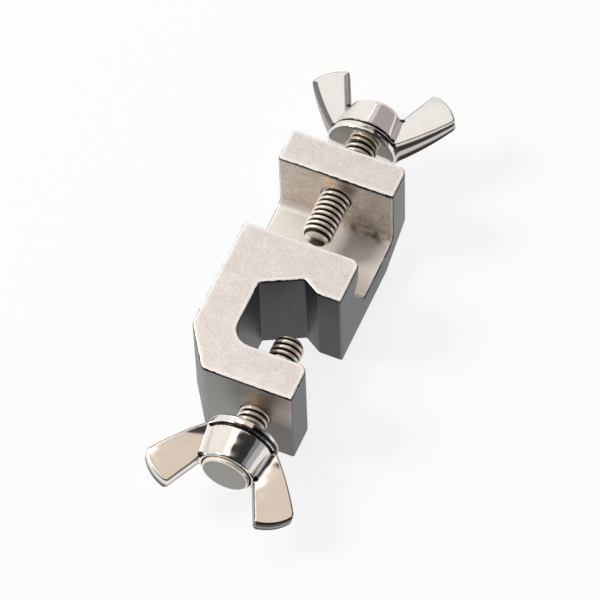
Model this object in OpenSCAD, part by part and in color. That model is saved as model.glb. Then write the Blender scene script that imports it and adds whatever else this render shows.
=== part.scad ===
// Boss head clamp: one cast block with two V jaws turned a quarter turn to each
// other, each closed by a wing screw that runs along the length of the block.
// The block lies on its back face. X is the width, Y the length, Z the front.

/* [Body] */
// Width of the block, across the upper jaw
body_w = 25; // [20:0.5:40]
// Depth of the block, back face to front face
body_d = 22; // [20:0.5:36]
// Length of the middle block between the two jaws
mid_l = 10.3; // [8:0.1:20]
// Radius of the softened corners along the open side
corner_r = 1.8; // [0.5:0.1:3]

/* [Lower jaw, opens to the side] */
// Thickness of the arm that carries the lower screw
lower_arm = 8.3; // [6:0.1:14]
// Height of the lower jaw opening
lower_gap = 16; // [12:0.1:24]
// Thickness of the spine beside the lower jaw
lower_spine = 8.4; // [5:0.1:10]
// Distance from the lower throat wall to the bottom of the V
lower_v_reach = 7.95; // [6:0.05:9.5]
// Depth of the V below the face of the middle block
lower_v_drop = 2.2; // [1:0.1:3.5]
// Slope of the V flank next to the throat, in degrees
lower_v_inner = 27; // [20:1:40]
// Slope of the V flank next to the open side, in degrees
lower_v_outer = 31; // [25:1:45]
// Distance from the lower throat wall to the axis of the lower screw
lower_screw_reach = 8.5; // [7:0.1:10]
// Radius of the fillet between the spine and the lower arm
lower_fillet = 4; // [1:0.1:5]
// Width of the bevel at the foot of the spine
lower_bevel_w = 5.9; // [2:0.1:7]
// Length of the bevel at the foot of the spine
lower_bevel_l = 8.9; // [3:0.1:12]

/* [Upper jaw, opens to the front] */
// Thickness of the arm that carries the upper screw
upper_arm = 7.6; // [6:0.1:14]
// Height of the upper jaw opening
upper_gap = 16.4; // [12:0.1:24]
// Thickness of the spine behind the upper jaw
upper_spine = 6.3; // [5:0.1:9]
// Distance from the upper throat wall to the bottom of the V
upper_v_reach = 8.15; // [6:0.05:9]
// Depth of the V below the face of the middle block
upper_v_drop = 3.6; // [1:0.1:3.8]
// Slope of the V flank next to the throat, in degrees
upper_v_inner = 33; // [20:1:40]
// Slope of the V flank next to the front, in degrees
upper_v_outer = 30; // [28:1:45]
// Distance from the upper throat wall to the axis of the upper screw
upper_screw_reach = 8.2; // [7:0.1:9]
// Radius of the fillet between the spine and the upper arm
upper_fillet = 2; // [1:0.1:5]
// Depth of the bevel behind the upper arm
upper_bevel_d = 5.8; // [2:0.1:6]
// Length of the bevel behind the upper arm
upper_bevel_l = 11.2; // [3:0.1:14]

/* [Screw studs] */
// Outer diameter of the threaded stud
stud_d = 6.3; // [5:0.1:8]
// Length of the stud from its tip to its round head
stud_l = 33; // [28:0.5:40]
// Length of the bevel at the stud's tip
stud_tip = 0.8; // [0.3:0.1:1.5]
// Diameter of the round stud head
stud_head_d = 10; // [9:0.1:11]
// Thickness of the round stud head
stud_head_t = 1.5; // [1:0.1:3]
// How far the lower wing head stands off the end of the block
lower_screw_out = 5.2; // [2:0.1:12]
// How far the upper wing head stands off the end of the block
upper_screw_out = 5.2; // [2:0.1:12]

/* [Wing heads] */
// Diameter of the flange at the foot of the wing head
flange_d = 14.8; // [13:0.1:18]
// Thickness of the flange
flange_t = 2; // [1.5:0.1:3]
// Diameter of the boss just above the flange
boss_foot_d = 14.2; // [12:0.1:16]
// Diameter of the boss at its outer end
boss_end_d = 11.4; // [11.2:0.1:12]
// Height of the boss from the flange's underside
boss_h = 8.7; // [7:0.1:12]
// Distance from the axis to the outermost corner of a wing
wing_reach = 15.7; // [13:0.1:20]
// Height of that corner above the flange's underside
wing_corner_h = 12.1; // [8:0.1:16]
// Distance from the axis to the top corner of a wing
wing_top_reach = 10; // [8:0.1:11]
// Height of the top corner above the flange's underside
wing_top_h = 16.7; // [14:0.1:20]
// Outward bow of the wing's end between its two corners
wing_bow = 0.5; // [0.2:0.1:1.5]
// Thickness of a wing at the foot of its outer edge
wing_root_t = 7.4; // [4:0.1:8]
// Thickness of a wing at the foot of its inner edge
wing_inner_t = 4.4; // [3:0.1:6]
// Thickness of a wing at its end
wing_tip_t = 3; // [2:0.1:4]
// Bevel along the edges of a wing
wing_bevel = 0.8; // [0.3:0.1:0.9]
// Turn of the lower wing head away from the front plane, in degrees
lower_turn = 10; // [0:1:90]
// Turn of the upper wing head away from the front plane, in degrees
upper_turn = 5; // [0:1:90]

/* [Fits] */
// Radial clearance between a stud and its hole in the arm
thread_clear = 0.05; // [0.02:0.01:0.1]
// Clearance between a stud and its wing head
head_clear = 0.04; // [0.02:0.01:0.1]

/* [Hidden] */
$fn = 96;
over = 1;              // how far a cutter runs past the face it opens
arc_steps = 6;         // flats in a softened corner
lip_r = 0.8;           // softened edge between a V and its lip
groove_d = 0.5;        // depth of the groove above the flange
groove_w = 0.35;       // width of the same groove
edge_bevel = 0.5;      // bevel on the turned edges of the wing screw
wing_corner_r = 1.1;   // rounding of the two free corners of a wing
wing_foot_r = 1.5;     // rounding of the wing where it is sunk in the boss

body_l = lower_arm + lower_gap + mid_l + upper_gap + upper_arm;
left = -body_w / 2;
right = body_w / 2;
bottom = -body_l / 2;
top = body_l / 2;

lower_throat = left + lower_spine;                 // X of the lower throat wall
lower_face = bottom + lower_arm + lower_gap;       // Y of the lower V's face
upper_throat = upper_spine;                        // Z of the upper throat wall
upper_face = top - upper_arm - upper_gap;          // Y of the upper V's face
lower_axis_x = lower_throat + lower_screw_reach;
upper_axis_z = upper_throat + upper_screw_reach;

hole_r = stud_d / 2 + thread_clear;
head_bore_r = stud_d / 2 + head_clear;
seat_r = stud_head_d / 2 + head_clear;
seat_z = boss_h - stud_head_t / 2;                 // floor of the stud head's seat
stud_end = seat_z + head_clear + stud_head_t;      // outer face of the stud head
wing_foot_reach = flange_d / 2 - wing_foot_r;      // foot bead nearest the flange's rim
wing_foot_z = flange_t / 2;                        // a wing starts inside the flange

// Unit vector from one point of a plane to another.
function toward(a, b) = (b - a) / norm(b - a);

// The arc of radius r that softens corner p, between its neighbours a and b.
function corner_arc(a, p, b, r) =
    let (u = toward(p, a), v = toward(p, b), half = acos(u * v) / 2,
         centre = p + toward([0, 0], u + v) * r / sin(half),
         start = p + u * r / tan(half) - centre,
         swept = sign(cross(p - a, b - p)) * (180 - 2 * half))
    [for (i = [0:arc_steps]) let (t = swept * i / arc_steps)
        centre + [start.x * cos(t) - start.y * sin(t), start.x * sin(t) + start.y * cos(t)]];

// An outline of [x, y, r] corners, each softened to its own radius r, 0 for sharp.
function softened(corners) =
    let (n = len(corners), at = [for (c = corners) [c.x, c.y]])
    [for (i = [0:n - 1]) each corners[i].z == 0 ? [at[i]] :
        corner_arc(at[(i + n - 1) % n], at[i], at[(i + 1) % n], corners[i].z)];

// The V of a jaw, from the end of its lip to the throat wall. It is laid out with
// the wall at x = 0 and the face it is cut in at y = 0, going down into the block.
function v_groove(reach, drop, inner, outer) =
    [[reach + drop / tan(outer), 0, lip_r], [reach, -drop, 0], [0, reach * tan(inner) - drop, 0]];

// The block seen from the front, its open side at the right, with the lower jaw.
module front_outline() {
    groove = v_groove(lower_v_reach, lower_v_drop, lower_v_inner, lower_v_outer);
    polygon(softened([
        [left, top, 0], [left, bottom + lower_bevel_l, corner_r],
        [left + lower_bevel_w, bottom, corner_r], [right, bottom, 0],
        [right, bottom + lower_arm, corner_r],
        [lower_throat, bottom + lower_arm, lower_fillet],
        for (i = [2, 1, 0]) [lower_throat + groove[i].x, lower_face - groove[i].y, groove[i].z],
        [right, lower_face, 0], [right, top, corner_r]]));
}

// The block seen from the side, its front at the right, with the upper jaw.
module side_outline() {
    groove = v_groove(upper_v_reach, upper_v_drop, upper_v_inner, upper_v_outer);
    polygon(softened([
        [0, bottom, 0], [body_d, bottom, 0], [body_d, upper_face, 0],
        for (i = [0, 1, 2]) [upper_throat + groove[i].x, upper_face + groove[i].y, groove[i].z],
        [upper_throat, top - upper_arm, upper_fillet], [body_d, top - upper_arm, 0],
        [body_d, top, 0], [upper_bevel_d, top, corner_r], [0, top - upper_bevel_l, corner_r]]));
}

// What softening takes off the corner where the lip in front of the upper V meets
// the open side.
module lip_waste() {
    arc = corner_arc([left, upper_face], [right, upper_face], [right, bottom], corner_r);
    polygon([each arc, [right + over, upper_face - corner_r], [right + over, upper_face + over],
             [right - corner_r, upper_face + over]]);
}

// Puts a screw's own axis, +Z outwards from the block's end face, on the block.
module on_lower_end() {
    translate([lower_axis_x, bottom, body_d / 2]) rotate([90, 0, 0]) children();
}

module on_upper_end() {
    translate([0, top, upper_axis_z]) rotate([-90, 0, 0]) children();
}

// Hole for a stud, through an arm of the given thickness.
module stud_hole(arm) {
    translate([0, 0, -arm - over]) cylinder(h = arm + 2 * over, r = hole_r);
}

// Threaded stud with its round head, the flange's underside at z = 0.
module stud() {
    tip = stud_end - stud_l;
    r = stud_d / 2;
    head = stud_head_d / 2;
    rotate_extrude()
        polygon([[0, tip], [r - stud_tip, tip], [r, tip + stud_tip], [r, stud_end - stud_head_t],
                 [head, stud_end - stud_head_t], [head, stud_end - edge_bevel],
                 [head - edge_bevel, stud_end], [0, stud_end]]);
}

// Flange and tapered boss of a wing head, turned in one profile.
module boss() {
    rim = flange_d / 2;
    foot = boss_foot_d / 2;
    end = boss_end_d / 2;
    cone_z = flange_t + groove_w;
    rotate_extrude()
        polygon([[0, 0], [rim - edge_bevel, 0], [rim, edge_bevel], [rim, flange_t],
                 [foot - groove_d, flange_t], [foot - groove_d, cone_z], [foot, cone_z],
                 [end, boss_h - edge_bevel], [end - edge_bevel, boss_h], [0, boss_h]]);
}

// A bevelled disc that stands for one rounded corner of a wing, at distance x
// from the axis and height z, r in radius and t thick.
module wing_corner(x, z, r, t) {
    translate([x, 0, z]) rotate([90, 0, 0]) {
        cylinder(h = t - 2 * wing_bevel, r = r, center = true, $fn = 32);
        cylinder(h = t, r = r - wing_bevel, center = true, $fn = 32);
    }
}

// One wing, thin at its bowed end and thickest at the foot of its outer edge. Its
// inner edge leaves the boss at the rim of the boss's outer end.
module wing() {
    corner_a = [wing_reach - wing_corner_r, wing_corner_h];
    corner_b = [wing_top_reach, wing_top_h - wing_corner_r];
    along = toward(corner_a, corner_b);
    bow = (corner_a + corner_b) / 2 + [along.y, -along.x] * wing_bow;
    rim = [boss_end_d / 2, boss_h];
    lean = atan2(corner_b.x - rim.x, corner_b.y - rim.y)
        - asin(wing_corner_r / norm(corner_b - rim));
    inner_z = wing_foot_z + wing_corner_r;
    inner_x = corner_b.x - tan(lean) * (corner_b.y - inner_z);
    hull() {
        wing_corner(wing_foot_reach, wing_foot_z + wing_foot_r, wing_foot_r, wing_root_t);
        wing_corner(inner_x, inner_z, wing_corner_r, wing_inner_t);
        wing_corner(corner_a.x, corner_a.y, wing_corner_r, wing_tip_t);
        wing_corner(bow.x, bow.y, wing_corner_r, wing_tip_t);
        wing_corner(corner_b.x, corner_b.y, wing_corner_r, wing_tip_t);
    }
}

// Wing head, bored for the stud and counterbored for the stud's round head.
module wing_head(turn) {
    difference() {
        union() {
            boss();
            rotate([0, 0, -turn]) {
                wing();
                mirror([1, 0, 0]) wing();
            }
        }
        translate([0, 0, -over]) cylinder(h = boss_h + over, r = head_bore_r);
        translate([0, 0, seat_z]) cylinder(h = wing_top_h, r = seat_r);
    }
}

module boss_body() {
    color("lightgray") difference() {
        intersection() {
            linear_extrude(height = body_d) front_outline();
            translate([right, 0, 0]) rotate([0, -90, 0]) linear_extrude(height = body_w) side_outline();
        }
        translate([0, 0, upper_throat + upper_v_reach]) linear_extrude(height = body_d) lip_waste();
        on_lower_end() stud_hole(lower_arm);
        on_upper_end() stud_hole(upper_arm);
    }
}

module lower_stud() {
    color("gainsboro") on_lower_end() translate([0, 0, lower_screw_out]) stud();
}

module lower_wing_head() {
    color("antiquewhite") on_lower_end() translate([0, 0, lower_screw_out]) wing_head(lower_turn);
}

module upper_stud() {
    color("gainsboro") on_upper_end() translate([0, 0, upper_screw_out]) stud();
}

module upper_wing_head() {
    color("antiquewhite") on_upper_end() translate([0, 0, upper_screw_out]) wing_head(upper_turn);
}

boss_body();
lower_stud();
lower_wing_head();
upper_stud();
upper_wing_head();
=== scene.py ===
import math

import bmesh
import bpy
import numpy as np
from mathutils import Matrix, Vector


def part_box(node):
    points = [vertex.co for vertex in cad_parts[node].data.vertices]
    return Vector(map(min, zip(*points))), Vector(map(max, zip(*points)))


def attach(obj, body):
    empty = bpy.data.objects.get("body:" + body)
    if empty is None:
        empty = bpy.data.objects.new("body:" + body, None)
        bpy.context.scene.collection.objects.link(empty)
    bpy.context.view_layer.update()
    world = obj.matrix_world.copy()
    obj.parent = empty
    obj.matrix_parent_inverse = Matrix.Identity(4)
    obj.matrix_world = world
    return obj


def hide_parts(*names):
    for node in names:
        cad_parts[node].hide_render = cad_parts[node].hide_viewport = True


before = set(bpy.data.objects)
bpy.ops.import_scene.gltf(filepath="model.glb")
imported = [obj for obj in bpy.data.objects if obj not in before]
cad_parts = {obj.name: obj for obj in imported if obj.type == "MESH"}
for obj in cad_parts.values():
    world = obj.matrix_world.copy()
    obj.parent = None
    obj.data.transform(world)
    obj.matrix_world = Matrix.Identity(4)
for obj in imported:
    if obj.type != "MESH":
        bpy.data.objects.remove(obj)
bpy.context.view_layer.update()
mm = 0.001  # sizes in the dictionaries are millimetres, Blender's are metres
print("frame loaded")


# the camera, far off behind a long lens

cameraView = {
    "aim": (1.96, -1.27, 11.0),  # the point that sits in the middle of the picture
    "azimuth": 25.21,            # degrees round from the block's lower end to its open side
    "elevation": 57.39,
    "roll": -2.26,
    "distance": 860.0,
    "lens": 259.35,              # a long lens
    "sensor": 36,
    "clip": (0.01, 20),          # metres
}


def makeCamera(v):
    turn, lift, roll = (math.radians(v[k]) for k in ("azimuth", "elevation", "roll"))
    back = Vector((math.sin(turn) * math.cos(lift), -math.cos(turn) * math.cos(lift), math.sin(lift)))
    right = Vector((math.cos(turn), math.sin(turn), 0))
    up = back.cross(right)
    rolledRight = right * math.cos(roll) + up * math.sin(roll)
    rolledUp = back.cross(rolledRight)
    axes = Matrix((rolledRight, rolledUp, back)).transposed().to_4x4()
    data = bpy.data.cameras.new("camera")
    data.lens = v["lens"]
    data.sensor_width = v["sensor"]
    data.clip_start, data.clip_end = v["clip"]
    camera = bpy.data.objects.new("camera", data)
    camera.matrix_world = Matrix.Translation((Vector(v["aim"]) + back * v["distance"]) * mm) @ axes
    bpy.context.collection.objects.link(camera)
    bpy.context.scene.camera = camera


makeCamera(cameraView)
print("camera placed")


# small helpers for meshes and node trees

noiseSpan = (0.3, 0.7)  # most of what a noise gives lies in here


def meshPiece(name, points, faces, material, body, node):
    # points in metres, already in their place; every face is smooth shaded
    mesh = bpy.data.meshes.new(name)
    mesh.from_pydata(points.tolist(), [], faces.tolist())
    mesh.polygons.foreach_set("use_smooth", np.ones(len(mesh.polygons), bool))
    mesh.materials.append(material)
    mesh.update()
    piece = bpy.data.objects.new(name, mesh)
    bpy.context.collection.objects.link(piece)
    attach(piece, body)
    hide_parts(node)
    return piece


def newMaterial(name):
    material = bpy.data.materials.new(name)
    material.use_nodes = True
    tree = material.node_tree
    return material, tree, tree.nodes["Principled BSDF"]


def feed(tree, value, socket):
    # another node's socket is linked, a number or a colour is set
    if isinstance(value, bpy.types.NodeSocket):
        tree.links.new(value, socket)
    elif isinstance(value, tuple):
        socket.default_value = (*value, 1)
    else:
        socket.default_value = value


def noise(tree, source, scale, detail, roughness=0.5):
    node = tree.nodes.new("ShaderNodeTexNoise")
    for key, value in (("Vector", source), ("Scale", scale), ("Detail", detail), ("Roughness", roughness)):
        feed(tree, value, node.inputs[key])
    return node.outputs["Fac"]


def maths(tree, kind, *values):
    node = tree.nodes.new("ShaderNodeMath")
    node.operation = kind
    for value, socket in zip(values, node.inputs):
        feed(tree, value, socket)
    return node.outputs["Value"]


def times(tree, *values):
    product = values[0]
    for value in values[1:]:
        product = maths(tree, "MULTIPLY", product, value)
    return product


def mixture(tree, *pairs):
    # the sum of some values, each times its share
    total = 0
    for value, share in pairs:
        total = maths(tree, "ADD", total, times(tree, value, share))
    return total


def ranged(tree, source, span, low=0, high=1):
    # low at the span's start, high at its end, and level beyond
    node = tree.nodes.new("ShaderNodeMapRange")
    for key, value in (("Value", source), ("From Min", span[0]), ("From Max", span[1]),
                       ("To Min", low), ("To Max", high)):
        feed(tree, value, node.inputs[key])
    return node.outputs["Result"]


def within(tree, source, low, high, soft):
    rising = ranged(tree, source, (low - soft, low + soft))
    falling = ranged(tree, source, (high - soft, high + soft), 1, 0)
    return times(tree, rising, falling)


def ramp(tree, source, span, first, second):
    node = tree.nodes.new("ShaderNodeValToRGB")
    for stop, place, colour in zip(node.color_ramp.elements, span, (first, second)):
        stop.position = place
        stop.color = (*colour, 1)
    feed(tree, source, node.inputs["Fac"])
    return node.outputs["Color"]


def mix(tree, factor, first, second, kind="RGBA"):
    # two colours, or two numbers where kind is FLOAT
    node = tree.nodes.new("ShaderNodeMix")
    node.data_type = kind
    a, b, out = {"RGBA": (6, 7, 2), "FLOAT": (2, 3, 0)}[kind]
    for value, socket in ((factor, 0), (first, a), (second, b)):
        feed(tree, value, node.inputs[socket])
    return node.outputs[out]


def bump(tree, source, strength, height, before=None):
    node = tree.nodes.new("ShaderNodeBump")
    node.inputs["Strength"].default_value = strength
    node.inputs["Distance"].default_value = height * mm
    feed(tree, source, node.inputs["Height"])
    if before:
        feed(tree, before, node.inputs["Normal"])
    return node.outputs["Normal"]


def axesOf(tree, vector, scale):
    scaled = tree.nodes.new("ShaderNodeVectorMath")
    scaled.operation = "SCALE"
    scaled.inputs["Scale"].default_value = scale
    parts = tree.nodes.new("ShaderNodeSeparateXYZ")
    feed(tree, vector, scaled.inputs["Vector"])
    feed(tree, scaled.outputs["Vector"], parts.inputs["Vector"])
    return parts.outputs


def inBox(tree, spot, box):
    # box holds for each axis its start, its end and how soft they are
    return times(tree, *(within(tree, spot[axis], *span) for axis, span in box.items()))


def fromPoint(tree, spot, point):
    # distance from a point, which holds for each axis its place and how much the axis counts
    squares = []
    for axis, (place, weight) in point.items():
        gap = times(tree, maths(tree, "SUBTRACT", spot[axis], place), weight)
        squares.append((maths(tree, "POWER", gap, 2), 1))
    return maths(tree, "SQRT", mixture(tree, *squares))


# satin nickel of the block

satinNickelValues = {
    "pale": (0.825, 0.80, 0.79), "deep": (0.635, 0.617, 0.61),         # linished front and back
    "castShadePale": (0.128, 0.127, 0.128), "castShadeDeep": (0.1, 0.099, 0.1),  # sides left as cast, painted darker as shade
    "openSideLight": (0.175, 0.175, 0.177),                                # painted light on the open side, by the upper arm
    "endShadePale": (0.30, 0.30, 0.288), "endShadeDeep": (0.24, 0.24, 0.23),     # ends left as cast, painted darker as shade, less than the sides
    "lowShadePale": (0.108, 0.102, 0.106), "lowShadeDeep": (0.07, 0.067, 0.07),  # painted shade inside the lower jaw
    "jawPale": (0.84, 0.80, 0.75), "jawDeep": (0.58, 0.49, 0.41),      # inside of the upper jaw: a mottled patina, painted lighter on faces turned up and darker on the arm's underside, as light and shade
    "endReflection": (0.74, 0.52, 0.33),                                     # painted reflection of the stud on the lower end, round the stud
    "endShadeLow": (0.14, 0.12, 0.115), "endLightHigh": (0.62, 0.53, 0.49),  # lower end, its right half: painted shade towards the bottom, painted light towards the top
    "studReflection": (0.86, 0.66, 0.46),      # painted reflection of the stud, under the upper arm above it
    "studShadow": (0.16, 0.11, 0.11),           # painted shadow of the stud, under the upper arm beside it
    "cornerBrown": (0.30, 0.19, 0.12),            # brown darkening along the upper jaw's corner, stronger right of the stud
    "paintedHighlight": (0.98, 0.97, 0.96),           # painted highlight along edges
    "edgeShade": (0.012, 0.011, 0.011),   # painted shade line beside a painted edge highlight
    "roughness": (0.30, 0.38), "castRoughness": (0.36, 0.46), "paintedHighlightRoughness": 0.17,
    "jawRoughness": (0.42, 0.6), "undersideRoughness": (0.22, 0.34), "jawMetal": 0.3,
    # noises: cycles per metre, detail and roughness
    "grain": (3200, 2, 0.6), "mottle": (420, 4, 0.6), "waves": (140, 2), "wear": (900, 3),
    "streaks": (2600, 2), "streakStretch": 0.05,          # the streaks run up the sides
    "grainBump": (0.16, 0.04), "wavesBump": (0.12, 0.3),  # strength and height
    # how much each noise counts, and between which values the deep colour gives way to the pale
    "fineShares": (0.75, 0.25), "streakyShares": (0.5, 0.5), "patinaAndLightShares": (0.45, 0.5, 0.4),
    "fineSpan": (0.38, 0.6), "lowSpan": (0.35, 0.65), "castSpan": (0.35, 0.65), "jawSpan": (0.35, 0.85),
    # how far a face is turned to the front, an end or the open side where a finish or a painted tone starts
    # and is full
    "tilts": {
        "linished": (0.3, 0.8), "end": (0.5, 0.95), "openSide": (0.6, 0.95), "jawWall": (0.2, 0.9),
        "flat": (0.97, 0.99), "upright": (0.5, 0.7),
        # from, to and how soft: painted highlight and painted shade lines along the edges of the front and
        # back, where the wear noise may shift them, and the lines along the edges that open the upper jaw
        # sideways
        "paintedHighlightFront": (0.74, 0.985, 0.02), "darkFront": (0.05, 0.7, 0.03), "shifted": (0.1, 0.96, 0.02),
        "paintedHighlightSide": (0.08, 0.5, 0.03), "darkSide": (0.5, 0.985, 0.02),
    },
    # boxes on the block: for each axis its start, its end and how soft they are
    "boxes": {
        "upperJaw": {"X": (-12.35, 12.35, 0.08), "Y": (4.8, 21.78, 0.06), "Z": (3.0, 21.6, 0.2)},
        "upperJawSides": {"Y": (4.8, 21.9, 0.1), "Z": (3.0, 21.6, 0.2)},
        "underUpperArm": {"Y": (21.55, 30, 0.1)},
        "upperArmEdge": {"Y": (21.5, 21.95, 0.05), "Z": (21.1, 21.7, 0.05)},
        "lowerJaw": {"X": (-4.4, 12.25, 0.2), "Y": (-20.95, -2.6, 0.2)},
        "lowerEnd": {"Y": (-30, -29.25, 0.02)},
        "betweenRims": {"Z": (0.6, 21.4, 0.1)},
    },
    # round patches: the point's place and weight on each axis, where the patch starts to fade and
    # ends, how strong it is and how far a noise shifts its border
    "patches": {
        "cornerBrown": {"point": {"Y": (21.0, 1), "Z": (7.0, 1)}, "fade": (0.5, 1.7), "share": 1, "wander": 0},
        "endReflection": {"point": {"X": (4.8, 1), "Z": (16.0, 1)}, "fade": (1.0, 4.8), "share": 0.9, "wander": 3},
        "studReflection": {"point": {"X": (-1.1, 1), "Z": (19.5, 0.6)}, "fade": (1.1, 2.1), "share": 0.9,
                        "wander": 0},
        "studShadow": {"point": {"X": (2.6, 1), "Z": (19.2, 1)}, "fade": (0.8, 3.0), "share": 0.75,
                   "wander": 0},
    },
    # where a finish or a painted tone fades in along the block, or with a noise, and how much of it there is
    "fades": {
        "openSideLight": (14, 26), "endShadeRise": (10, 16),
        "rightHalf": (3, 9.5), "rightShare": 0.8, "rightWander": 4,
        "cornerBrownAcross": (0, 4), "cornerBrownLeft": 0.15, "cornerBrownNoise": (0.42, 0.62),
        "dashNoise": (0.4, 0.52), "dashLeast": 0.35, "armAcross": (-3, 2), "armLeast": 0.3,
        "rimReach": 1.5, "rimSamples": 6, "rimLean": (0.97, 0.992), "rimWander": 0.02,  # on the flats: a painted highlight along their edges
        "underRim": (21.4, 21.6), "underRimWander": 0.7,
    },
}


def satinNickel(v):
    fades = v["fades"]
    material, tree, shader = newMaterial("satinNickelPlate")
    coordinates = tree.nodes.new("ShaderNodeTexCoord")
    place = coordinates.outputs["Object"]
    spot = axesOf(tree, place, 1 / mm)
    facing = axesOf(tree, coordinates.outputs["Normal"], 1)
    toSide, toEnd, toFront = (maths(tree, "ABSOLUTE", facing[axis]) for axis in "XYZ")

    def tilted(source, name, low=0, high=1):
        return ranged(tree, source, v["tilts"][name], low, high)

    def boxed(name):
        return inBox(tree, spot, v["boxes"][name])

    def patch(name, source):
        p = v["patches"][name]
        away = mixture(tree, (fromPoint(tree, spot, p["point"]), 1), (source, p["wander"]))
        return ranged(tree, away, p["fade"], p["share"], 0)

    def line(source, name):
        return within(tree, source, *v["tilts"][name])

    grain, mottle, waves, wear = (noise(tree, place, *v[k]) for k in ("grain", "mottle", "waves", "wear"))
    along = tree.nodes.new("ShaderNodeMapping")
    along.inputs["Scale"].default_value = (1, 1, v["streakStretch"])
    feed(tree, place, along.inputs["Vector"])
    streaks = noise(tree, along.outputs["Vector"], *v["streaks"])
    fine = mixture(tree, *zip((grain, mottle), v["fineShares"]))
    streaky = mixture(tree, *zip((streaks, grain), v["streakyShares"]))
    wander = maths(tree, "SUBTRACT", wear, 0.5)  # the wear noise about its middle

    # linished front and back, and the sides and ends as they were cast, painted darker as shade
    linished = tilted(toFront, "linished")
    cast = mix(tree, tilted(toEnd, "end"), ramp(tree, streaky, v["castSpan"], v["castShadeDeep"], v["castShadePale"]),
               ramp(tree, streaky, v["castSpan"], v["endShadeDeep"], v["endShadePale"]))
    # painted light: the open side grows lighter towards the upper arm
    byUpperArm = times(tree, ranged(tree, spot["Y"], fades["openSideLight"]), tilted(facing["X"], "openSide"))
    cast = mix(tree, byUpperArm, cast, v["openSideLight"])
    plain = mix(tree, linished, cast, ramp(tree, fine, v["fineSpan"], v["deep"], v["pale"]))

    # painted shade inside the lower jaw, and painted shade, painted light and a painted reflection of the
    # stud on the lower end
    inLow = times(tree, maths(tree, "SUBTRACT", 1, linished), boxed("lowerJaw"))
    plain = mix(tree, inLow, plain, ramp(tree, fine, v["lowSpan"], v["lowShadeDeep"], v["lowShadePale"]))
    onEnd = boxed("lowerEnd")
    # painted shade and light on the lower end's right half, darker towards the bottom
    shifted = mixture(tree, (spot["X"], 1), (mottle, fades["rightWander"]))
    rightHalf = ranged(tree, shifted, fades["rightHalf"], 0, fades["rightShare"])
    wide = mix(tree, ranged(tree, spot["Z"], fades["endShadeRise"]), v["endShadeLow"], v["endLightHigh"])
    plain = mix(tree, times(tree, rightHalf, onEnd), plain, wide)
    # painted reflection of the stud on the lower end
    plain = mix(tree, times(tree, patch("endReflection", mottle), onEnd), plain, v["endReflection"])

    # inside of the upper jaw: its mottled patina, painted lighter on faces turned up, its brown corner
    # darkening, and the painted reflection and painted shadow of the stud
    inJaw = boxed("upperJaw")
    wall = tilted(facing["Z"], "jawWall")
    # the facing share paints faces turned up lighter, as light, and the arm's underside darker, as shade
    patinaAndLight = mixture(tree, *zip((wall, mottle, wear), v["patinaAndLightShares"]))
    colour = mix(tree, inJaw, plain, ramp(tree, patinaAndLight, v["jawSpan"], v["jawDeep"], v["jawPale"]))
    # brown darkening along the corner, weaker on the left
    cornerBrown = times(tree, patch("cornerBrown", mottle), inJaw,
                  ranged(tree, spot["X"], fades["cornerBrownAcross"], fades["cornerBrownLeft"], 1),
                  ranged(tree, mottle, fades["cornerBrownNoise"]))
    colour = mix(tree, cornerBrown, colour, v["cornerBrown"])
    underArm = times(tree, inJaw, boxed("underUpperArm"))
    # painted shadow and painted reflection of the stud on the upper arm's underside
    for name in ("studShadow", "studReflection"):
        colour = mix(tree, times(tree, patch(name, mottle), underArm), colour, v[name])

    # painted highlights along the edges of the front and back, with a painted shade line beside them
    tilt = mixture(tree, (toFront, 1), (wander, line(toFront, "shifted")))
    atRim = maths(tree, "SUBTRACT", 1, boxed("betweenRims"))
    outside = times(tree, maths(tree, "SUBTRACT", 1, inJaw), atRim)
    edge = times(tree, line(tilt, "paintedHighlightFront"), outside)
    colour = mix(tree, edge, colour, v["paintedHighlight"])
    colour = mix(tree, times(tree, line(tilt, "darkFront"), outside), colour, v["edgeShade"])
    # the Bevel node's normal leans away from the face's own near an edge
    rounded = tree.nodes.new("ShaderNodeBevel")
    rounded.samples = fades["rimSamples"]
    rounded.inputs["Radius"].default_value = fades["rimReach"] * mm
    geometry = tree.nodes.new("ShaderNodeNewGeometry")
    dot = tree.nodes.new("ShaderNodeVectorMath")
    dot.operation = "DOT_PRODUCT"
    feed(tree, rounded.outputs["Normal"], dot.inputs[0])
    feed(tree, geometry.outputs["Normal"], dot.inputs[1])
    lean = mixture(tree, (dot.outputs["Value"], 1), (wander, fades["rimWander"]))
    rim = times(tree, ranged(tree, lean, fades["rimLean"], 1, 0), tilted(toFront, "flat"))
    # painted highlight along the rims of the flats
    colour = mix(tree, rim, colour, v["paintedHighlight"])
    # painted shade line just under the rim of the front, on upright faces
    height = mixture(tree, (spot["Z"], 1), (wear, fades["underRimWander"]))
    underRim = times(tree, tilted(toFront, "upright", 1, 0), ranged(tree, height, fades["underRim"]), outside)
    colour = mix(tree, underRim, colour, v["edgeShade"])

    # painted highlights along the edges where the upper jaw opens sideways, and painted shade lines beside
    # them and under the upper arm
    besideJaw = boxed("upperJawSides")
    dashes = ranged(tree, mottle, fades["dashNoise"], fades["dashLeast"], 1)
    paintedHighlightSide = times(tree, line(toSide, "paintedHighlightSide"), besideJaw)
    darkSide = times(tree, line(toSide, "darkSide"), besideJaw, dashes)
    armEdge = times(tree, boxed("upperArmEdge"), dashes,
                    ranged(tree, spot["X"], fades["armAcross"], fades["armLeast"], 1))
    colour = mix(tree, paintedHighlightSide, colour, v["paintedHighlight"])
    colour = mix(tree, darkSide, colour, v["edgeShade"])
    colour = mix(tree, armEdge, colour, v["edgeShade"])
    feed(tree, colour, shader.inputs["Base Color"])

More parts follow.
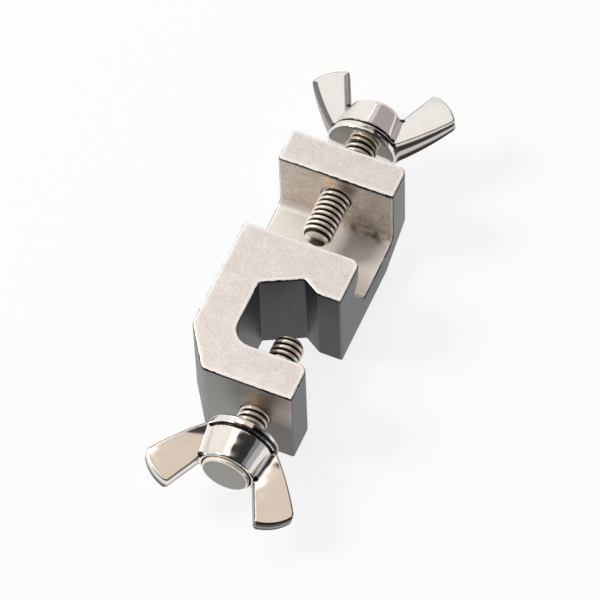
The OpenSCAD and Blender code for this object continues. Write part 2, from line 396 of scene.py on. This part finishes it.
    rough = mix(tree, linished, ranged(tree, streaky, noiseSpan, *v["castRoughness"]),
                ranged(tree, mottle, noiseSpan, *v["roughness"]), "FLOAT")
    jawRough = mix(tree, wall, ranged(tree, mottle, noiseSpan, *v["undersideRoughness"]),
                   ranged(tree, mottle, noiseSpan, *v["jawRoughness"]), "FLOAT")
    rough = mix(tree, inJaw, rough, jawRough, "FLOAT")
    feed(tree, mix(tree, edge, rough, v["paintedHighlightRoughness"], "FLOAT"), shader.inputs["Roughness"])
    # the painted edge highlight is not metallic, so that it stays pale
    metal = maths(tree, "SUBTRACT", ranged(tree, inJaw, noiseSpan, 1, v["jawMetal"]), edge)
    feed(tree, metal, shader.inputs["Metallic"])
    wavy = bump(tree, waves, *v["wavesBump"])
    feed(tree, bump(tree, grain, *v["grainBump"], wavy), shader.inputs["Normal"])
    return material


# bright nickel of the wing heads and studs

brightNickelValues = {
    "pale": (0.84, 0.80, 0.755), "deep": (0.79, 0.75, 0.70), "roughness": (0.07, 0.12),
    "mark": "paintedShade",    # 1 where shade and dark reflections are painted: the wings' side walls and borders, the groove, seat, notch and a stretch of the flange's rim
    "markSpan": (0, 1), "markColour": (0.025, 0.022, 0.02), "markRoughness": 0.3,
    "metal": 1.0,
    "mottle": (300, 3), "relief": (160, 1), "reliefBump": (0.15, 0.3),
}
threadNickelValues = {
    "pale": (0.97, 0.92, 0.84), "deep": (0.90, 0.81, 0.69), "roughness": (0.1, 0.18),
    "mark": "threadDepth",  # 0 on the crests, 1 in the roots, which are painted dark as shade
    "markSpan": (0.14, 0.42), "markColour": (0.06, 0.045, 0.035), "markRoughness": 0.5,
    "metal": (0.45, 1),     # on the crests and in the roots
    "mottle": (500, 3), "relief": (3000, 2), "reliefBump": (0.1, 0.03),
}


def markedNickel(name, v):
    # plating whose colour and roughness change where the mesh is marked with painted shade
    material, tree, shader = newMaterial(name)
    place = tree.nodes.new("ShaderNodeTexCoord").outputs["Object"]
    mottle = noise(tree, place, *v["mottle"])
    relief = noise(tree, place, *v["relief"])
    mark = tree.nodes.new("ShaderNodeAttribute")
    mark.attribute_name = v["mark"]
    marked = ranged(tree, mark.outputs["Fac"], v["markSpan"])
    colour = mix(tree, marked, ramp(tree, mottle, noiseSpan, v["deep"], v["pale"]), v["markColour"])
    plain = ranged(tree, mottle, noiseSpan, *v["roughness"])
    rough = mix(tree, marked, plain, v["markRoughness"], "FLOAT")
    feed(tree, colour, shader.inputs["Base Color"])
    feed(tree, rough, shader.inputs["Roughness"])
    metal = v["metal"]
    if isinstance(metal, tuple):
        metal = ranged(tree, marked, (0, 1), *metal)
    feed(tree, metal, shader.inputs["Metallic"])
    feed(tree, bump(tree, relief, *v["reliefBump"]), shader.inputs["Normal"])
    return material


turnedEndValues = {
    "pale": (0.37, 0.365, 0.35), "deep": (0.29, 0.285, 0.27),
    "roughness": (0.42, 0.55), "span": (0.35, 0.65), "grain": (3500, 3, 0.6), "grainBump": (0.2, 0.04),
}


def turnedEnd(v):
    # grey face of a stud's head, painted darker as shade
    material, tree, shader = newMaterial("turnedEndFace")
    place = tree.nodes.new("ShaderNodeTexCoord").outputs["Object"]
    grain = noise(tree, place, *v["grain"])
    feed(tree, ramp(tree, grain, v["span"], v["deep"], v["pale"]), shader.inputs["Base Color"])
    feed(tree, ranged(tree, grain, noiseSpan, *v["roughness"]), shader.inputs["Roughness"])
    feed(tree, bump(tree, grain, *v["grainBump"]), shader.inputs["Normal"])
    shader.inputs["Metallic"].default_value = 1.0
    return material


satinNickelPlate = satinNickel(satinNickelValues)
brightNickelPlate = markedNickel("brightNickelPlate", brightNickelValues)
threadNickelPlate = markedNickel("threadNickelPlate", threadNickelValues)
turnedEndFace = turnedEnd(turnedEndValues)
print("metal finishes made")


# the cast block, with its edges broken

blockEdges = {
    "bevel": 0.4,      # width of the broken edges
    "segments": 4,
    "flatAngle": 0.5,  # degrees under which two faces are one flat
    "edgeAngle": 28,   # degrees from which an edge is broken
    "merge": 0.001,    # points nearer than this are one
}


def makeBlock(v):
    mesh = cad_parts["boss_body"].data.copy()
    mesh.name = "plated_block"
    shape = bmesh.new()
    shape.from_mesh(mesh)
    bmesh.ops.remove_doubles(shape, verts=shape.verts, dist=v["merge"] * mm)
    flat = math.radians(v["flatAngle"])
    bmesh.ops.dissolve_limit(shape, angle_limit=flat, verts=shape.verts, edges=shape.edges)
    shape.to_mesh(mesh)
    shape.free()
    mesh.polygons.foreach_set("use_smooth", np.ones(len(mesh.polygons), bool))
    mesh.materials.clear()
    mesh.materials.append(satinNickelPlate)
    block = bpy.data.objects.new("plated_block", mesh)
    bpy.context.collection.objects.link(block)
    bevel = block.modifiers.new("brokenEdges", "BEVEL")
    bevel.width = v["bevel"] * mm
    bevel.segments = v["segments"]
    bevel.limit_method = "ANGLE"
    bevel.angle_limit = math.radians(v["edgeAngle"])
    bevel.use_clamp_overlap = False
    bevel.loop_slide = False  # sliding threw a corner above the front face
    weighted = block.modifiers.new("flatShading", "WEIGHTED_NORMAL")
    weighted.weight = 100     # the large flats decide
    weighted.keep_sharp = True
    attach(block, "block")
    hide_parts("boss_body")


makeBlock(blockEdges)
print("block made")


# where the two screws stand

headTurns = {"lower": 10, "upper": 5}  # degrees that the wings stand out of the front's plane


def screwPlace(stud, head, outward, turn):
    # axis from the stud's box, and the flange's underside from the wing head's box
    low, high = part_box(stud)
    headLow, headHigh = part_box(head)
    axis = ((low[0] + high[0]) / 2, (low[2] + high[2]) / 2)
    underside = headHigh[1] if outward < 0 else headLow[1]
    tip = high[1] if outward < 0 else low[1]
    end = low[1] if outward < 0 else high[1]
    return {"axis": axis, "underside": underside, "outward": outward, "turn": math.radians(turn),
            "tip": abs(tip - underside), "end": abs(end - underside)}


def onScrew(points, place):
    # from a screw's own axes, +z outwards from the flange's underside, to the block's
    x, y, z = points.T
    c, s = math.cos(place["turn"]), math.sin(place["turn"])
    across, depth = x * c + y * s, y * c - x * s
    return np.stack([place["axis"][0] + across, place["underside"] + place["outward"] * z,
                     place["axis"][1] - place["outward"] * depth], axis=1)


screws = {
    side: screwPlace(f"{side}_stud", f"{side}_wing_head", outward, headTurns[side])
    for side, outward in (("lower", -1), ("upper", 1))
}


# threaded studs

studSizes = {
    "crestD": 6.3, "rootD": 4.75, "pitch": 1.27,
    "crestShare": 0.37, "rootShare": 0.08,   # flats of the thread, as shares of the pitch
    "tipD": 4.4, "tipBevel": 1.1, "neckBevel": 0.3,
    "headD": 10.0, "headT": 1.5, "headBevel": 0.45,
    "around": 72, "perPitch": 12, "bevelSteps": 5,  # points in a turn, rows in a pitch
    "merge": 0.0002,                                # points nearer than this are one
}


def threadSurface(tip, top, v):
    # The thread is its profile carried along a helix: row j at angle a stands at height
    # pitch * (j / perPitch + a / full turn), and its radius is the profile at phase j / perPitch.
    # The end of one turn meets the start of the row that stands perPitch rows on.
    crest, root, tipR = v["crestD"] / 2, v["rootD"] / 2, v["tipD"] / 2
    flank = (1 - v["crestShare"] - v["rootShare"]) / 2
    n, each = v["around"], v["perPitch"]
    rows = int((top - tip) / v["pitch"] * each) + 2 * each
    turn = np.arange(n)[None, :] / n
    j = np.arange(rows + 1)[:, None]
    z = tip + v["pitch"] * (j / each - 1 + turn)
    phase = np.mod(j / each, 1) + 0 * turn
    stops = [0, v["crestShare"], v["crestShare"] + flank, 1 - flank, 1]
    rise = np.interp(phase, stops, [1, 1, 0, 0, 1])
    radius = root + (crest - root) * rise
    for gap in ((z - tip) / v["tipBevel"], (top - z) / v["neckBevel"]):
        radius = np.minimum(radius, tipR + (crest - tipR) * np.clip(gap, 0, 1))
    angle = 2 * np.pi * turn
    z = np.clip(z, tip, top)
    points = np.stack([radius * np.cos(angle), radius * np.sin(angle), z], axis=-1).reshape(-1, 3)
    index = np.arange((rows + 1) * n).reshape(rows + 1, n)
    low, high = index[:-1], index[1:]
    inner = np.stack([low[:, :-1], low[:, 1:], high[:, 1:], high[:, :-1]], axis=-1).reshape(-1, 4)
    k = np.arange(rows - each)
    seam = np.stack([index[k, -1], index[k + each, 0], index[k + each + 1, 0], index[k + 1, -1]], axis=-1)
    return points, np.concatenate([inner, seam]), (1 - rise).ravel()


def turnedHead(under, v):
    # the round head: a profile of its underside and bevelled rim, turned about the axis
    r, top, b, n = v["headD"] / 2, under + v["headT"], v["headBevel"], v["around"]
    arc = np.linspace(0, np.pi / 2, v["bevelSteps"])
    rim = np.stack([r - b + b * np.cos(arc), top - b + b * np.sin(arc)], axis=1)
    profile = np.concatenate([[[v["tipD"] / 2, under], [r, under]], rim])
    ring = 2 * np.pi * np.arange(n) / n
    points = np.stack([profile[:, :1] * np.cos(ring), profile[:, :1] * np.sin(ring),
                       profile[:, 1:] + 0 * ring], axis=-1).reshape(-1, 3)
    index = np.arange(len(points)).reshape(-1, n)
    around = np.roll(index, -1, axis=1)
    faces = np.stack([index[:-1], around[:-1], around[1:], index[1:]], axis=-1).reshape(-1, 4)
    return points, faces


def makeStud(side, v):
    place = screws[side]
    under = place["end"] / mm - v["headT"]
    thread, threadFaces, depth = threadSurface(-place["tip"] / mm, under, v)
    head, headFaces = turnedHead(under, v)
    points = onScrew(np.concatenate([thread, head]) * mm, dict(place, turn=0))
    faces = np.concatenate([threadFaces, headFaces + len(thread)])
    stud = meshPiece(f"{side}_threaded_stud", points, faces, threadNickelPlate,
                     f"{side}_screw", f"{side}_stud")
    mesh = stud.data
    depth = np.concatenate([depth, np.zeros(len(head))])
    mesh.attributes.new("threadDepth", "FLOAT", "POINT").data.foreach_set("value", depth)
    mesh.materials.append(turnedEndFace)
    shape = bmesh.new()
    shape.from_mesh(mesh)
    bmesh.ops.remove_doubles(shape, verts=shape.verts, dist=v["merge"] * mm)
    bmesh.ops.dissolve_degenerate(shape, edges=shape.edges, dist=v["merge"] * mm / 2)
    bmesh.ops.holes_fill(shape, edges=[e for e in shape.edges if e.is_boundary], sides=0)
    bmesh.ops.recalc_face_normals(shape, faces=shape.faces)
    for face in shape.faces:  # the flat outer end has its own finish
        face.material_index = int(face.normal.y * place["outward"] > 0.999)
    print(stud.name, "open edges", sum(not e.is_manifold for e in shape.edges), "faces", len(shape.faces))
    shape.to_mesh(mesh)
    shape.free()


for side in screws:
    makeStud(side, studSizes)
print("studs made")


# wing heads

headSizes = {
    "flangeD": 14.8, "flangeT": 2.0, "flangeRound": 0.75,
    "footD": 14.2, "endD": 11.4, "height": 8.7, "endRound": 0.45,
    "grooveZ": 2.15, "grooveR": 0.3, "grooveOut": 0.05,
    "boreD": 6.38, "seatD": 10.5, "seatDepth": 0.75, "boreRound": 0.1,
    # corners of a wing: distance from the axis and height
    "outerFoot": (6.8, 1.2), "outerCorner": (15.85, 12.05),
    "innerFoot": (5.65, 8.65), "innerCorner": (9.4, 16.75),
    "tipBow": 0.9, "sideBow": 0.4, "cornerRound": 0.7,
    "rootT": 6.4, "innerT": 3.6, "tipT": 3.0,   # thickness at the outer foot, inner foot and tip
    "footReach": 6.0, "tipReach": 13.6,         # how far the foot's and the wing's thickening go
    "edgeBevel": 0.1, "edgeRound": 0.2,
    "fillet": 0.9, "flangeFillet": 0.2, "grooveRound": 0.05,
    "wobble": 0.011,
    "cell": 0.19, "margin": 0.5, "topMargin": 0.8,  # grid that finds the surface, and its room round it
    # where the finish is painted dark, as shade and dark reflection
    "marks": {
        "wallFrom": (5.2, 1.0), "wallUp": (0.3, 0.5),  # where the wings' walls start, and their fade
        "grooveSpread": 0.04, "seatSpread": 0.1,
        "notchOut": 0.25, "notchR": 0.55, "notchBack": 0.7,
        "rimZ": 1.25, "rimHalf": 0.4, "rimIn": 0.6, "rimFrom": 0.35, "rimTo": 1.35,  # last two: radians
        "stops": (0.1, 0.2, 0.42, 0.5, 0.66, 0.74),    # front to back, for the four shades of a wall
        "borderSoft": 0.15,
    },
    # painted shade and dark reflections on the wings' side walls: how dark they are at their front edge,
    # front half, back half and back edge, and how wide a border of the face is painted as dark as the front
    # edge
    "walls": {
        "lower": {
            "left": {"outer": (0.9, 0.9, 0.9, 0.9, 0.3), "tip": (0, 0.1, 0.75, 1, 0.3),
                     "inner": (0.6, 0, 0.1, 1, 0.3)},
            "right": {"outer": (0.9, 0.9, 0.9, 0.9, 0.3), "tip": (1, 1, 0.7, 1, 0.3),
                      "inner": (0.8, 0.8, 0.8, 0.9, 0.3)},
        },
        "upper": {
            "left": {"outer": (0.8, 0.85, 0.8, 0.8, 1.1), "tip": (0.5, 0.6, 0.6, 0.6, 0.35),
                     "inner": (0.66, 0.6, 0.6, 0.6, 1.3)},
            "right": {"outer": (0, 1, 0.3, 1, 0.3), "tip": (0.7, 0.7, 0.7, 0.9, 0.3),
                      "inner": (0.6, 0.6, 0.6, 0.6, 0.4)},
        },
    },
}


def roundMeet(a, b, r):
    # The overlap of two solids given by distance: the larger distance, and where both are near
    # zero the distance from an arc of radius r.
    return np.minimum(np.maximum(a, b), -r) + np.hypot(np.maximum(a + r, 0), np.maximum(b + r, 0))


def roundJoin(a, b, r):
    # The union of two solids given by distance: the smaller distance, and in the corner between
    # them the distance from an arc of radius r.
    return np.maximum(np.minimum(a, b), r) - np.hypot(np.maximum(r - a, 0), np.maximum(r - b, 0))


def wingEdges(across, z, v):
    # distances to a wing's outer edge, tip and inner edge, seen from the front, negative inside
    def arcEdge(start, end, bow):
        # distance from an arc through two points, bowed out on its right, negative on its left
        a, b = np.array(start), np.array(end)
        half = np.linalg.norm(b - a) / 2
        radius = (half ** 2 + bow ** 2) / (2 * bow)
        inward = np.array([-(b - a)[1], (b - a)[0]]) / (2 * half)
        centre = (a + b) / 2 + inward * (radius - bow)
        return np.hypot(across - centre[0], z - centre[1]) - radius

    outer = arcEdge(v["outerFoot"], v["outerCorner"], v["sideBow"])
    tip = arcEdge(v["outerCorner"], v["innerCorner"], v["tipBow"])
    (ax, az), (bx, bz) = v["innerFoot"], v["innerCorner"]
    inner = ((z - az) * (bx - ax) - (across - ax) * (bz - az)) / math.hypot(bx - ax, bz - az)
    return outer, tip, inner


def wingThickness(across, z, v):
    # even along the tip, growing towards the foot, most along the outer edge
    side = np.array(v["outerCorner"]) - np.array(v["innerCorner"])
    side = side / np.linalg.norm(side)
    toTip = (v["outerCorner"][0] - across) * -side[1] + (v["outerCorner"][1] - z) * side[0]
    toInner = (across - v["innerFoot"][0]) * side[0] + (z - v["innerFoot"][1]) * side[1]
    share = np.clip(toInner / v["footReach"], 0, 1)
    grown = v["innerT"] + (v["rootT"] - v["innerT"]) * share - v["tipT"]
    return v["tipT"] + grown * np.clip(toTip / v["tipReach"], 0, 1)


def fromGroove(rho, z, v):
    # distance from the circle in the middle of the groove above the flange
    return np.hypot(rho - v["footD"] / 2 - v["grooveOut"], z - v["grooveZ"])


def headDistance(x, y, z, v):
    # Distance to the wing head's surface, negative inside, in the screw's own axes: a cone joined
    # with two wings and a flange, bent by slow waves, less a groove, a bore and a round seat.
    across, rho = np.abs(x), np.hypot(x, y)
    flangeFaces = np.abs(z - v["flangeT"] / 2) - v["flangeT"] / 2
    flange = roundMeet(rho - v["flangeD"] / 2, flangeFaces, v["flangeRound"])
    rise = v["height"] - v["flangeT"]
    lean = math.atan2((v["footD"] - v["endD"]) / 2, rise)
    coneR = v["footD"] / 2 - (z - v["flangeT"]) * math.tan(lean)
    coneFaces = np.abs(z - v["height"] / 2) - v["height"] / 2
    cone = roundMeet((rho - coneR) * math.cos(lean), coneFaces, v["endRound"])

    outer, tip, inner = wingEdges(across, z, v)
    outline = roundMeet(roundMeet(outer, tip, v["cornerRound"]), inner, v["cornerRound"])
    thick = np.abs(y) - wingThickness(across, z, v) / 2
    bevel = (outline + thick + v["edgeBevel"] / 2 ** 0.5) / 2 ** 0.5
    wing = roundMeet(roundMeet(outline, thick, v["edgeRound"]), bevel, v["edgeRound"])
    wing = np.maximum(wing, v["flangeT"] / 2 - z)  # stops inside the flange
    solid = roundJoin(cone, wing, v["fillet"])
    solid = roundJoin(solid, flange, v["flangeFillet"])
    # slow waves, because a casting isn't quite true
    waves = (np.sin(1.1 * x + 0.7 * z) * np.cos(0.9 * y - 0.6 * z + 1)
             + 0.6 * np.sin(1.9 * z - 1.3 * y + 0.8 * x + 2))
    solid = solid + v["wobble"] * waves
    solid = roundMeet(solid, v["grooveR"] - fromGroove(rho, z, v), v["grooveRound"])
    bore = v["boreD"] / 2 - rho
    seat = -np.maximum(rho - v["seatD"] / 2, v["height"] - v["seatDepth"] - z)
    return roundMeet(roundMeet(solid, bore, v["boreRound"]), seat, v["boreRound"])


def settle(points, distance, cell, rounds):
    # moves points along the distance's gradient, by the distance over the slope, until it is zero
    step = cell * 0.02  # for the gradient's differences
    for _ in range(rounds):
        d = distance(*points.T)
        slope = np.stack([distance(*(points + step * e).T) - distance(*(points - step * e).T)
                          for e in np.eye(3)], axis=1) / (2 * step)
        size = np.maximum((slope ** 2).sum(1), 0.25)  # a faint slope gives no long leap
        points = points - slope * (np.clip(d, -cell, cell) / size)[:, None]
    return points


def netSurface(distance, low, high, cell):
    # Surface of a distance function: one point in each grid cell that the surface crosses,
    # one four-sided face across each grid edge that it crosses, then every point is settled
    # on the surface, with the spacing evened out along it.
    counts = [int((h - l) / cell) + 2 for l, h in zip(low, high)]
    axes = [l + cell * np.arange(n) for l, n in zip(low, counts)]
    grid = np.stack(np.meshgrid(*axes, indexing="ij"), axis=-1)
    inside = distance(grid[..., 0], grid[..., 1], grid[..., 2]) < 0
    corners = sum(inside[i:counts[0] - 1 + i, j:counts[1] - 1 + j, k:counts[2] - 1 + k].astype(int)
                  for i in (0, 1) for j in (0, 1) for k in (0, 1))
    crossed = (corners > 0) & (corners < 8)
    number = np.full(crossed.shape, -1)
    number[crossed] = np.arange(crossed.sum())
    points = grid[:-1, :-1, :-1][crossed] + cell / 2
    faces = []
    for axis in range(3):
        first, second = (axis + 1) % 3, (axis + 2) % 3
        here, there = [slice(None)] * 3, [slice(None)] * 3
        here[axis], there[axis] = slice(None, -1), slice(1, None)
        a, b = inside[tuple(here)], inside[tuple(there)]
        for enters in (True, False):
            at = np.argwhere((a != b) & (b == enters))
            quad = []
            for stepFirst, stepSecond in ((-1, -1), (0, -1), (0, 0), (-1, 0)):
                cellAt = at.copy()
                cellAt[:, first] += stepFirst
                cellAt[:, second] += stepSecond
                quad.append(number[tuple(cellAt.T)])
            faces.append(np.stack(quad[::-1] if enters else quad, axis=1))
    faces = np.concatenate(faces)

    points = settle(points, distance, cell, 3)
    edges = np.concatenate([faces[:, [0, 1]], faces[:, [1, 2]], faces[:, [2, 3]], faces[:, [3, 0]]])
    for _ in range(3):
        total = np.zeros_like(points)
        count = np.zeros(len(points))
        for p, q in ((0, 1), (1, 0)):
            np.add.at(total, edges[:, p], points[edges[:, q]])
            np.add.at(count, edges[:, p], 1)
        halfway = (points + total / count[:, None]) / 2
        points = settle(halfway, distance, cell, 2)
    return points, faces


def wallShade(points, left, fromFront, shades, v):
    # painted shade and dark reflections on the wings' side walls, each by its nearest edge and by how far
    # back it lies
    marks = v["marks"]
    across, z = np.abs(points[:, 0]), points[:, 2]
    edges = np.stack(wingEdges(across, z, v))
    shade = np.zeros(len(points))
    for hand, here in (("left", left), ("right", ~left)):
        for i, edge in enumerate(("outer", "tip", "inner")):
            a, b, c, d, border = shades[hand][edge]
            chosen = here & (edges.argmax(0) == i)
            dark = np.interp(fromFront, marks["stops"], (a, b, b, c, c, d))
            onBorder = np.clip((edges.max(0) + border) / marks["borderSoft"], 0, 1)
            shade[chosen] = (dark * onBorder)[chosen]
    (out, outSoft), (up, upSoft) = marks["wallFrom"], marks["wallUp"]
    return shade * np.clip((across - out) / outSoft, 0, 1) * np.clip((z - up) / upSoft, 0, 1)


def makeHeads(v):
    marks = v["marks"]
    reach, thick = v["outerCorner"][0] + v["margin"], v["flangeD"] / 2 + v["margin"]
    low = (-reach, -thick, -v["margin"])
    high = (reach, thick, v["innerCorner"][1] + v["topMargin"])
    points, faces = netSurface(lambda x, y, z: headDistance(x, y, z, v), low, high, v["cell"])
    print("wing head surface", len(points), "points,", len(faces), "faces")
    across, z = np.abs(points[:, 0]), points[:, 2]
    rho = np.hypot(points[:, 0], points[:, 1])
    inGroove = fromGroove(rho, z, v) < v["grooveR"] + marks["grooveSpread"]
    spread = marks["seatSpread"]
    seat = (rho < v["seatD"] / 2 + spread) & (z < v["height"] - spread) & (z > 2 * spread)
    out = marks["notchOut"]
    notch = np.hypot(across - v["innerFoot"][0] - out, z - v["innerFoot"][1] + out) < marks["notchR"]
    rim = (rho > v["flangeD"] / 2 - marks["rimIn"]) & (np.abs(z - marks["rimZ"]) < marks["rimHalf"])
    for side, place in screws.items():
        placed = onScrew(points * mm, place)
        fromAxis = placed[:, [0, 2]] - place["axis"]
        fromFront = 0.5 + place["outward"] * points[:, 1] / wingThickness(across, z, v)
        bearing = np.arctan2(fromAxis[:, 0], fromAxis[:, 1])
        onRim = rim & (bearing > marks["rimFrom"]) & (bearing < marks["rimTo"])
        inNotch = notch & (fromFront < marks["notchBack"])
        walls = wallShade(points, fromAxis[:, 0] < 0, fromFront, v["walls"][side], v)
        # painted shade in the groove, seat and notch, and a painted dark reflection on a stretch of the
        # flange's rim
        marked = np.maximum(walls, seat | inGroove | inNotch | onRim)
        head = meshPiece(f"{side}_cast_wings", placed, faces, brightNickelPlate,
                         f"{side}_wing", f"{side}_wing_head")
        head.data.attributes.new("paintedShade", "FLOAT", "POINT").data.foreach_set("value", marked)


makeHeads(headSizes)
print("wing heads made")


# floor and light

studio = {
    "floorSize": 4.0, "floorDrop": 0.00002,  # metres
    "floorColour": (0.90, 0.90, 0.90), "floorWhite": 0.85, "floorRoughness": 0.9, "floorSheen": 0.1,
    "world": (0.035, 0.037, 0.042),
    "lampDistance": 1.5,                     # metres
    # compass (degrees from the block's length towards its open side), lift (degrees above the floor),
    # width and height in degrees, glow and colour
    "lamps": {
        "keyLamp": (-112, 46, 14, 14, 30, (1.0, 0.98, 0.96)),
        "sidePanel": (-88, 25, 66, 70, 1.0, (1.0, 0.98, 0.95)),
        "highPanel": (-80, 73, 34, 26, 1.0, (1.0, 0.97, 0.92)),
        "backPanel": (-36, 23, 42, 54, 1.0, (1.0, 0.99, 1.0)),
        "warmPanel": (-8, 69.5, 52, 35, 0.8, (1.0, 0.88, 0.77)),
        "stepPanel": (-5, 24, 14, 52, 0.34, (1.0, 0.97, 1.0)),
        "greyPanel": (17, 15, 54, 50, 0.42, (1.0, 0.94, 0.98)),
        "rightPanel": (82, 2, 46, 40, 0.26, (0.95, 0.93, 1.0)),
        "rightStrip": (86, 10, 46, 54, 0.22, (0.96, 0.95, 1.0)),
        "frontPanel": (-150, 26, 50, 30, 0.35, (1.0, 0.95, 0.9)),
    },
}


def addLamp(name, compass, lift, width, height, glow, colour, distance):
    # an area lamp given by where it stands, how many degrees it spans and how bright it looks
    compass, lift, width, height = (math.radians(angle) for angle in (compass, lift, width, height))
    away = Vector((math.sin(compass) * math.cos(lift), math.cos(compass) * math.cos(lift), math.sin(lift)))
    data = bpy.data.lights.new(name, "AREA")
    data.shape = "RECTANGLE"
    data.size = 2 * distance * math.tan(width / 2)
    data.size_y = 2 * distance * math.tan(height / 2)
    data.energy = glow * math.pi * data.size * data.size_y
    data.color = colour
    lamp = bpy.data.objects.new(name, data)
    lamp.location = away * distance
    lamp.rotation_euler = away.to_track_quat("Z", "Y").to_euler()
    bpy.context.collection.objects.link(lamp)


def paleFloor(v):
    # seen straight on or in the metal, the floor is part its own light, so that it stays near white
    material, tree, shader = newMaterial("paleFloor")
    feed(tree, v["floorColour"], shader.inputs["Base Color"])
    feed(tree, v["floorRoughness"], shader.inputs["Roughness"])
    feed(tree, v["floorSheen"], shader.inputs["Specular IOR Level"])
    ray = tree.nodes.new("ShaderNodeLightPath").outputs
    share = maths(tree, "MAXIMUM", ray["Is Camera Ray"], ray["Is Glossy Ray"])
    share = times(tree, maths(tree, "MAXIMUM", share, ray["Is Transmission Ray"]), v["floorWhite"])
    own = tree.nodes.new("ShaderNodeEmission")
    both = tree.nodes.new("ShaderNodeMixShader")
    for value, socket in zip((share, shader.outputs["BSDF"], own.outputs["Emission"]), both.inputs):
        feed(tree, value, socket)
    feed(tree, both.outputs["Shader"], tree.nodes["Material Output"].inputs["Surface"])
    return material


def makeStudio(v):
    half = v["floorSize"] / 2
    mesh = bpy.data.meshes.new("floor")
    corners = [(-half, -half, 0), (half, -half, 0), (half, half, 0), (-half, half, 0)]
    mesh.from_pydata(corners, [], [(0, 1, 2, 3)])
    mesh.materials.append(paleFloor(v))
    floor = bpy.data.objects.new("floor", mesh)
    floor.location = (0, 0, -v["floorDrop"])
    bpy.context.collection.objects.link(floor)
    world = bpy.data.worlds.new("studio")
    world.use_nodes = True
    world.node_tree.nodes["Background"].inputs["Color"].default_value = (*v["world"], 1)
    bpy.context.scene.world = world
    for name, lamp in v["lamps"].items():
        addLamp(name, *lamp, v["lampDistance"])
    bpy.context.scene.view_settings.view_transform = "Standard"


makeStudio(studio)
print("studio lit")
